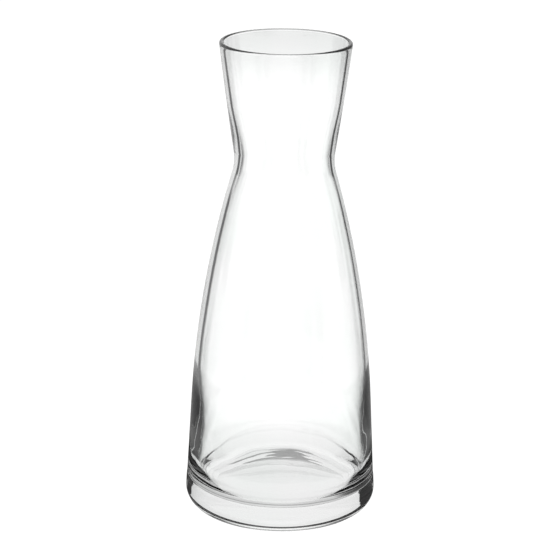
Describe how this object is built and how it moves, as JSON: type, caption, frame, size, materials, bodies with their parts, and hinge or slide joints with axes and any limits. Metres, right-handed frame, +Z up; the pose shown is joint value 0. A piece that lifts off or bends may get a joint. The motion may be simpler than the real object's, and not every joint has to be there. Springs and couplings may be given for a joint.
{
  "type": "water carafe",
  "caption": "Clear glass water carafe with a heavy flat base, a tapering body, a narrow waist to hold it by and a flared mouth to pour from.",
  "frame": {"origin": "centre of the bearing ring, on the surface that the carafe stands on", "axes": "+Z up along the carafe's axis and out of the mouth; the carafe is round about Z, so +X and +Y are any two square directions"},
  "size_m": [0.1054, 0.1054, 0.262],
  "materials": {
    "clear_glass": "fire-polished clear glass"
  },
  "bodies": {
    "root": {"carafe_glass": "clear_glass"}
  },
  "joints": []
}
